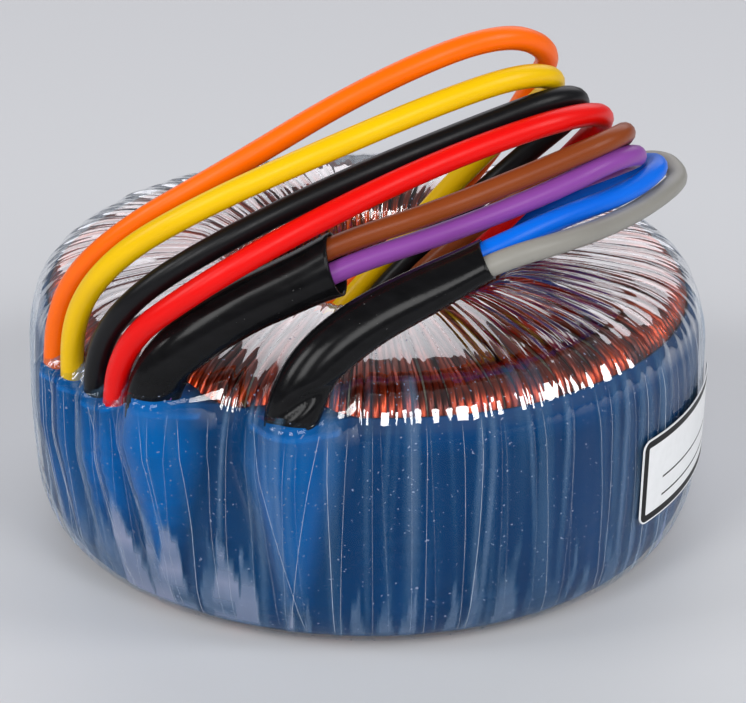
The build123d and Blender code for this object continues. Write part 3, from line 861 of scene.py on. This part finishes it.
# Painted highlights: faint pale stripes down the side, pale lines along the pleats' crests, and
# pale streaks on the crumpled film.
painted_stripes = np.clip(0.6 * wander(28, 330, 3, C, T) + 0.5 * wander(29, 170, 2, C, T) - 0.22, 0, 1)
painted_sheen = np.maximum(painted_sheen, 0.46 * painted_stripes * (LINE[:, 1] > 2) * (LINE[:, 0] > 36))
painted_crest_highlights = np.clip(pleats / 0.1 - 0.5, 0, 1) * (0.5 + 0.5 * wander(30, 90, 5, C, T))
painted_sheen = np.maximum(painted_sheen, 0.42 * painted_crest_highlights * upright_side * np.clip((30 - heights) / 3, 0, 1))
painted_sheen = np.maximum(painted_sheen, np.clip(np.abs(crumple) * 1.8 - 0.1, 0, 0.45))
gloss = 0.04 + 0.96 * np.clip((LINE[:, 1] - CLINGS_TO_Z) / 1.2, 0, 1)
gloss = np.where(ON_SIDE, gloss, 1.0)
gloss = gloss[None, :] * np.clip(1 - 0.5 * raised + 6 * np.abs(crumple), 0.12, 1)
mark(film_mesh, "painted_sheen", painted_sheen)
mark(film_mesh, "gloss", gloss)
piece("wound_film", film_mesh, film_clear, ["outer_wrap"])


def on_film(at, rows, proud_by=0.02):
    """Places on the film, in metres: at in turns of the ring, one for each row."""
    columns = np.arange(FILM_COLUMNS + 1) / FILM_COLUMNS
    spots = []
    for c, j in zip(at, rows):
        row = np.append(film_points[:, j], film_points[:1, j], axis=0)
        x, y, z = (np.interp(c % 1, columns, row[:, a]) for a in range(3))
        out = sqrt(x * x + y * y)
        grow = 1 + OUT[j, 0] * proud_by / out
        spots.append((x * grow * MM, y * grow * MM, max(z + OUT[j, 1] * proud_by, 0.06) * MM))
    return spots


def edge_bead_tree():
    """Thickens lines into fine beads."""
    tree, given = growing_tree("edge_bead", "Lines", {"Thickness": "Float", "Sides": "Int"})
    return give_back(tree, given, thickened(tree, given, given["Lines"], "Thickness", True))


# The edge of every turn of film runs round the section; some cross their neighbours.
spots, links, boldness = [], [], []
shows = np.where(upright_side, np.clip((28 - LINE[:, 1]) / 2, 0.05, 1), 0.05)
for k in range(LAPS):
    at = (k + dice.uniform(-0.45, 0.45)) / LAPS
    wave, phase = dice.uniform(-1.5, 1.5) / arc, dice.uniform(0, TURN)
    start = len(spots)
    spots += on_film(at + wave * np.sin(TURN * ALONG + phase), range(ROWS))
    links += [(start + j, start + (j + 1) % ROWS) for j in range(ROWS)]
    boldness += list(dice.choice([0.1, 0.2, 0.35, 0.6]) * shows)
# Below each exit the edges beside it run together.
for e in EXITS:
    rows = np.flatnonzero(upright_side & (LINE[:, 1] < e.top))
    for side, meet in ((-1, dice.uniform(4, 12)), (1, dice.uniform(-6, 9))):
        fall = (e.top - LINE[rows, 1]) / (e.top - meet)
        off = side * (e.wide / 2 + 0.5) * (1 - fall)
        start = len(spots)
        spots += on_film((atan2(e.y, e.x) + off / RING_R) / TURN, rows)
        links += [(start + j, start + j + 1) for j in range(len(rows) - 1)]
        boldness += [dice.choice([0.2, 0.45])] * len(rows)
edges = bpy.data.meshes.new("film_edge_lines")
edges.from_pydata(spots, links, [])
mark(edges, "boldness", boldness)
beads = grown(placed("film_edge_lines", edges), edge_bead_tree(),
              Thickness=EDGE_BEAD_D * MM, Sides=4, Finish=edge_pale)
piece("film_edges", beads, edge_pale)

# ---- blue band ----
BAND_COLUMNS = 720
BACK_STEP = 8  # the hidden inside needs only every eighth row
TAPE_ENDS = (0.953, 0.978)  # where the outer turns of tape end, in 0..1 of the band's width
around = np.arange(BAND_COLUMNS) / BAND_COLUMNS
near_top = [0.95, 0.957, 0.975, 0.982, 0.995, 1]  # a row to each side of every step
up = np.concatenate([[0, 0.004], np.linspace(0.02, 0.94, 98), near_top])
A, V = np.meshgrid(around * TURN, up, indexing="ij")
edge = np.full(BAND_COLUMNS, BAND_HIGH)
for e in EXITS:
    off = np.abs(around_from(around * TURN, e.top_x, e.top_y)) * RING_R / (e.wide / 2 + 0.6)
    edge += (e.top - edge) * np.clip(1.9 - off, 0, 1) + EDGE_RISE * np.clip(1 - off**2, 0, 1)
edge += 0.12 * wander(31, 40, 1, around, 0)
heights = BAND_LOW + (edge[:, None] - BAND_LOW) * V
depth = FILM_T + SKIN_GAP + 0.02
over_leads = lift(A, heights, depth, 0.8)
wrinkles = 0.05 * wander(32, 150, 3, A / TURN, V) + 0.04 * wander(33, 60, 6, A / TURN, V)
# Single creases: azimuth, height, half width and half height, lean and depth.
for seat_az, seat_z, wide, tall, lean, deep in (
    (-2.25, 15.0, 0.2, 1.0, 3.0, 0.3), (-2.2, 17.0, 0.26, 0.7, 2.0, 0.22),
    (-2.05, 12.5, 0.22, 1.0, -6.0, 0.2), (-2.3, 20.0, 0.16, 0.6, 3.0, 0.18),
    (-1.85, 7.5, 0.2, 0.8, 2.0, 0.16), (-1.35, 7.0, 0.25, 0.7, 3.0, 0.12),
    (-2.45, 11.0, 0.2, 0.9, 4.0, 0.15), (0.6, 9.0, 0.3, 0.9, 4.0, 0.15),
    (2.3, 16.0, 0.3, 0.9, -4.0, 0.15), (1.5, 20.0, 0.3, 0.9, 3.0, 0.12),
    (3.0, 12.0, 0.3, 0.9, -3.0, 0.15),
):
    off = wrapped(A - seat_az)
    rise = heights - seat_z - lean * off - 0.4 * np.sin(off * 21 + seat_z)
    wrinkles -= deep * swelling(off, wide) * swelling(rise, tall)
# Groups of fine parallel wrinkles: azimuth, height, half width, half height, pitch, lean, depth.
for seat_az, seat_z, wide, tall, pitch, lean, deep in (
    (-1.52, 14.5, 0.21, 6.0, 1.9, 9.0, 0.07), (-2.3, 19.0, 0.22, 3.0, 1.6, 8.0, 0.06),
    (-1.88, 5.0, 0.12, 2.0, 1.1, 3.0, 0.08), (-1.45, 5.5, 0.16, 1.2, 0.9, 1.0, 0.05),
    (-0.9, 12.0, 0.2, 4.0, 2.2, 6.0, 0.04), (0.4, 14.0, 0.3, 5.0, 1.8, -8.0, 0.05),
    (1.3, 11.0, 0.3, 4.0, 1.5, 6.0, 0.05), (2.2, 18.0, 0.3, 5.0, 2.0, -7.0, 0.06),
    (2.9, 9.0, 0.25, 4.0, 1.7, 8.0, 0.05),
):
    off = wrapped(A - seat_az)
    rise = heights - seat_z - lean * off - 0.5 * np.sin(off * 17 + seat_z)
    here = swelling(off, wide) * swelling(rise, tall)
    wrinkles -= deep * here * (0.5 + 0.5 * np.cos(TURN * rise / pitch))
steps = 0.09 * (V > TAPE_ENDS[0]) + 0.09 * (V > TAPE_ENDS[1])
band_out = side_radius(heights, depth) + over_leads + np.minimum(wrinkles, 0.02) - steps
back = heights[:, ::-1][:, ::BACK_STEP]
band_r = np.concatenate([band_out, side_radius(back, depth + BAND_T - 0.15)], 1)
band_z = np.concatenate([heights, back], 1)
band_a = A[:, :1] + 0 * band_r
band_mesh = ring_mesh(
    "band", np.stack([band_r * np.cos(band_a), band_r * np.sin(band_a), band_z], -1) * MM
)
# Painted light: the tape is painted brightest where it bridges from a lead's ridge to the copper,
# as if lit through, a little brighter along its top edge, and in a pale line where its first end
# crosses a lead.
painted_backlight_mask = np.clip(over_leads / 2.2, 0, 1) * 0.9
painted_backlight_mask = np.maximum(painted_backlight_mask, np.clip((heights - 24) / 4, 0, 1) * 0.25)
painted_backlight_mask *= np.clip(0.75 + 0.6 * wander(34, 44, 3, A / TURN, V), 0, 1)
first_end = np.abs(V - TAPE_ENDS[0]) < 0.005
painted_backlight_mask = np.where(first_end & (over_leads > 1.2), 1.0, painted_backlight_mask)
mark(band_mesh, "painted_backlight", np.concatenate([painted_backlight_mask, 0 * back], 1))
piece("tape_band", band_mesh, tape_blue, ["blue_band"])

# ---- leads ----
def route_curve(name, points, radius):
    """One open smooth spline with the route's corner points as its control points."""
    curve = bpy.data.curves.new(name, "CURVE")
    curve.dimensions = "3D"
    line = curve.splines.new("NURBS")
    line.points.add(len(points) - 1)
    for spot, place in zip(line.points, points):
        spot.co = (*(v * MM for v in place), 1)
    line.order_u = 3
    line.use_endpoint_u = True
    line.resolution_u = 10
    curve.bevel_depth = radius * MM
    curve.bevel_resolution = 5
    curve.use_fill_caps = True
    return curve


def route_places(points):
    """Places along a route's smooth spline, in metres."""
    rig = placed("measure", route_curve("measure", points, 0))
    mesh = bpy.data.meshes.new_from_object(
        rig.evaluated_get(bpy.context.evaluated_depsgraph_get())
    )
    places = np.array([v.co for v in mesh.vertices])
    bpy.data.objects.remove(rig)
    bpy.data.meshes.remove(mesh)
    return places


lead_pieces = {
    colour: piece(
        f"{colour}_lead", route_curve(f"{colour}_lead", points, LEAD_D[colour] / 2),
        INSULATION[colour], [f"lead_{colour}"],
    )
    for colour, points in LEADS.items()
}


# ---- heat-shrink sleeves ----
def even_places(places, count):
    """A line of places made over at even steps."""
    run = np.concatenate([[0], np.cumsum(np.linalg.norm(np.diff(places, axis=0), axis=1))])
    at = np.linspace(0, run[-1], count)
    return np.stack([np.interp(at, run, places[:, k]) for k in range(3)], 1)


def sleeve_mesh(name, mid, one, two, shape):
    """An oval tube along mid, its long way across the two leads one and two."""
    count, sides = len(mid), SLEEVE_SIDES
    ahead = np.gradient(mid, axis=0)
    ahead /= np.linalg.norm(ahead, axis=1)[:, None]
    across = np.zeros_like(mid)
    for i in range(count):
        a = one[np.argmin(np.linalg.norm(one - mid[i], axis=1))]
        b = two[np.argmin(np.linalg.norm(two - mid[i], axis=1))]
        across[i] = a - b
    across -= (across * ahead).sum(1)[:, None] * ahead
    across /= np.linalg.norm(across, axis=1)[:, None]
    other = np.cross(ahead, across)
    along = np.linspace(0, 1, count)
    long_way = np.interp(along, *shape["long_way"])[:, None] * MM / 2
    short_way = np.interp(along, *shape["short_way"])[:, None] * MM / 2
    sag = np.interp(along, *shape["sag"])[:, None] * MM
    turn = np.linspace(0, TURN, sides, endpoint=False)[None, :]
    pinch = np.zeros((count, sides))
    for at, side, spread, reach, skew, deep in shape["creases"]:
        gap = wrapped(turn - side)
        pinch += deep * swelling(along[:, None] - at - skew * gap, reach) * swelling(gap, spread)

    def shell(wall):
        a, b = long_way - wall, short_way - wall
        x, y = a * np.cos(turn) * (1 - pinch) - sag, b * np.sin(turn) * (1 - pinch)
        tilt = np.cos(turn) * shape["slant"][0] * a + np.sin(turn) * shape["slant"][1] * b
        shift = tilt * along[:, None] ** 12  # the mouth alone is cut at a slant
        return (mid[:, None, :] + x[..., None] * across[:, None, :]
                + y[..., None] * other[:, None, :] + shift[..., None] * ahead[:, None, :])

    wall = SLEEVE_WALL * MM
    tube = np.concatenate([shell(0), shell(wall)[::-1]], 0)
    return ring_mesh(name, tube.transpose(1, 0, 2)[::-1])


# Each sleeve's widths and sag along its length, how its mouth is cut, and its creases: place
# along, side, half spread, half reach, skew and depth.
SLEEVE_SHAPES = {
    "brown_purple": {
        "long_way": ([0, 0.25, 0.6, 0.9, 1], [5.7, 5.8, 5.8, 6.1, 6.5]),
        "short_way": ([0, 0.3, 0.7, 1], [4.2, 4.4, 4.3, 4.5]),
        "sag": ([0, 0.7, 1], [0, 0, 0.55]),
        "slant": (0.25, -0.34),
        "creases": ((0.17, 2.2, 0.7, 0.045, 0.06, 0.26), (0.3, 2.9, 0.5, 0.07, 0.05, 0.14)),
    },
    "blue_grey": {
        "long_way": ([0, 0.25, 0.6, 1], [5.8, 5.9, 5.7, 5.4]),
        "short_way": ([0, 0.12, 0.3, 0.7, 1], [4.2, 4.5, 4.3, 4.2, 3.7]),
        "sag": ([0, 1], [0, 0.1]),
        "slant": (0.2, -0.12),
        "creases": ((0.245, 1.95, 0.75, 0.035, 0.08, 0.34), (0.12, 2.7, 0.5, 0.04, 0.04, 0.2),
                    (0.34, 3.0, 0.5, 0.06, 0.0, 0.1)),
    },
}
for name, points in SLEEVES.items():
    one, two = (route_places(LEADS[c]) for c in name.split("_"))
    mid = even_places(route_places(points), SLEEVE_PLACES)
    piece(
        f"{name}_sleeve",
        sleeve_mesh(f"{name}_sleeve", mid, one, two, SLEEVE_SHAPES[name]),
        sleeve_black, [f"sleeve_{name}"],
    )

# ---- carried-over nodes ----
for node, finish in {
    "core": strip_steel, "core_wrap": inner_tape, "primary_insulation": inner_tape,
    # the primary windings take the darker copy of the copper, painted shade
    "primary_winding_1": shaded_copper, "primary_winding_2": shaded_copper, "label": label_white,
    **{f"tinned_end_{colour}": tinned for colour in LEADS},
}.items():
    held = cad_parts[node]
    held.data.materials.clear()
    held.data.materials.append(finish)

# ---- stage, light and camera ----
floor_mesh = bpy.data.meshes.new("floor")
floor_mesh.from_pydata([(-4, -4, 0), (4, -4, 0), (4, 4, 0), (-4, 4, 0)], [], [(0, 1, 2, 3)])
floor = placed("floor", floor_mesh)
pale, pale_tree = empty_finish("pale_floor")
show_solid(pale_tree, {"Base Color": tone(0.62, 0.63, 0.65), "Roughness": 0.6})
floor_mesh.materials.append(pale)


def soft_light(name, place, size, power, colour=(1, 1, 1)):
    """A rectangular soft light at a place, turned to the middle of the ring."""
    lamp = bpy.data.lights.new(name, "AREA")
    lamp.shape = "RECTANGLE"
    lamp.size, lamp.size_y = size
    lamp.energy = power
    lamp.color = colour
    made = placed(name, lamp)
    made.location = place
    made.rotation_euler = (RING_MIDDLE - Vector(place)).to_track_quat("-Z", "Y").to_euler()


RING_MIDDLE = Vector((0, 0, 0.02))
FRONT_AWAY, FRONT_UP = 0.9, 0.56
# A row of low soft lights round the front gives the shoulder its line of glints.
for azimuth_deg in (-166, -128, -92, -54, -16):
    front = radians(azimuth_deg)
    place = (FRONT_AWAY * cos(front), FRONT_AWAY * sin(front), FRONT_UP)
    soft_light(f"front_light_{-azimuth_deg}", place, (0.27, 0.42), 3.1)
soft_light("back_light", (0.05, 1.15, 0.75), (2.0, 0.9), 9, (0.97, 0.95, 1))

world = bpy.data.worlds.new("studio")
bpy.context.scene.world = world
world.use_nodes = True
sky = world.node_tree.nodes["Background"].inputs
sky["Color"].default_value = tone(0.9, 0.93, 1)
sky["Strength"].default_value = 0.16

camera_data = bpy.data.cameras.new("camera")
camera_data.sensor_width = 36
camera_data.lens = 100.57
camera = placed("camera", camera_data)
tilt, roll, distance = radians(24.45), radians(0.5), 0.2551
aim = Vector((0.000706, 0, 0.0185))
forward = Vector((0, cos(tilt), -sin(tilt)))
right, upright = Vector((1, 0, 0)), Vector((0, sin(tilt), cos(tilt)))
right, upright = right * cos(roll) + upright * sin(roll), upright * cos(roll) - right * sin(roll)
place = aim - forward * distance
camera.matrix_world = Matrix.Translation(place) @ Matrix(
    [[right[i], upright[i], -forward[i]] for i in range(3)]
).to_4x4()
bpy.context.scene.camera = camera
bpy.context.scene.view_settings.view_transform = "Standard"
